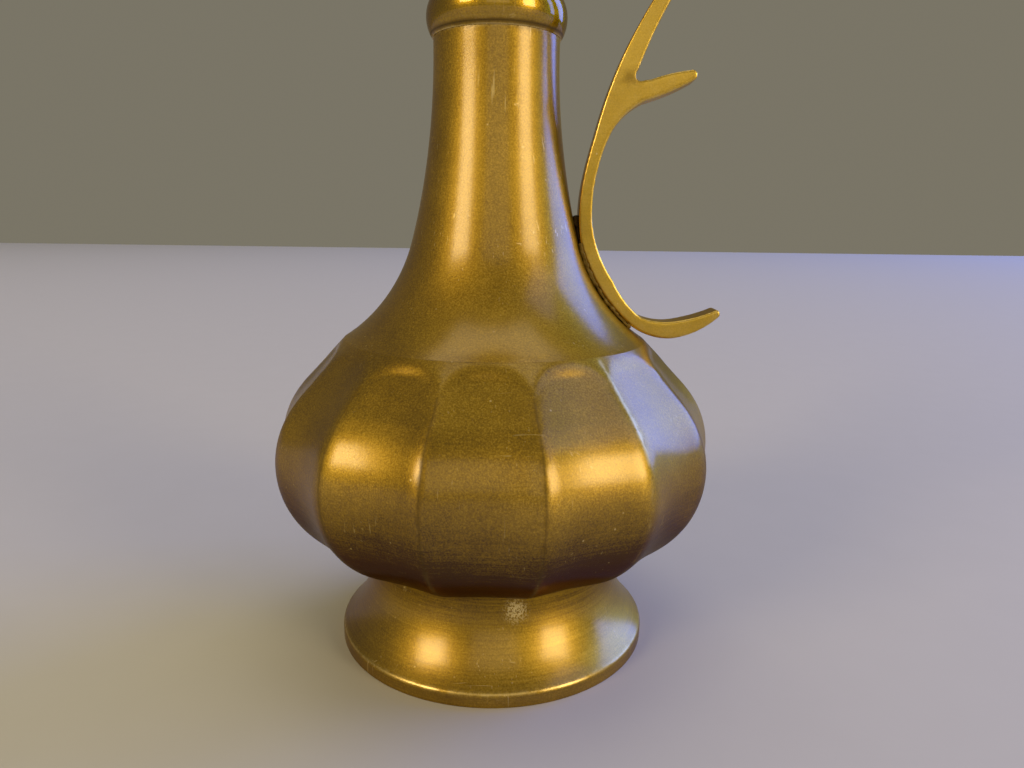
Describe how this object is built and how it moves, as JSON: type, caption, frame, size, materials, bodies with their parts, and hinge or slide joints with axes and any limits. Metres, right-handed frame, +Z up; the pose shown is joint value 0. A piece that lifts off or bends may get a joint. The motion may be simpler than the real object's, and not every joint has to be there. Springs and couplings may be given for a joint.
{
  "type": "ewer",
  "caption": "Footed brass ewer with a fluted round bowl, tall neck, flared mouth with a pouring lip, branch-shaped handle and a hinged domed lid with finial.",
  "frame": {"origin": "centre of the foot's base ring, on the surface the ewer stands on", "axes": "+Z up along the ewer's axis, +X towards the handle, -X towards the pouring lip"},
  "size_m": [0.1109, 0.1076, 0.2198],
  "materials": {
    "spun_brass": "aged satin, fine grain",
    "cast_brass": "worn, hand filed",
    "solder": "burnt, rough brazing"
  },
  "bodies": {
    "ewer": {"foot": "spun_brass", "bowl": "spun_brass", "bowl_floor": "spun_brass", "neck": "spun_brass", "neck_collar": "spun_brass", "mouth_cup": "spun_brass", "rim_ring": "spun_brass", "pouring_lip": "spun_brass", "handle": "cast_brass", "handle_solder": "solder", "hinge_bracket": "cast_brass", "bracket_rivets": "cast_brass", "hinge_pin": "cast_brass"},
    "lid": {"lid_dome": "spun_brass", "lid_flange": "spun_brass", "lid_strap": "cast_brass", "strap_rivets": "cast_brass", "thumb_piece": "cast_brass", "finial_rosette": "cast_brass", "finial": "cast_brass", "finial_washer": "cast_brass"}
  },
  "joints": [
    {"name": "lid_hinge", "type": "hinge", "parent": "ewer", "child": "lid", "pos_m": [0.0285, 0, 0.1921], "axis": [0, 1, 0], "range_deg": [0, 100]}
  ]
}
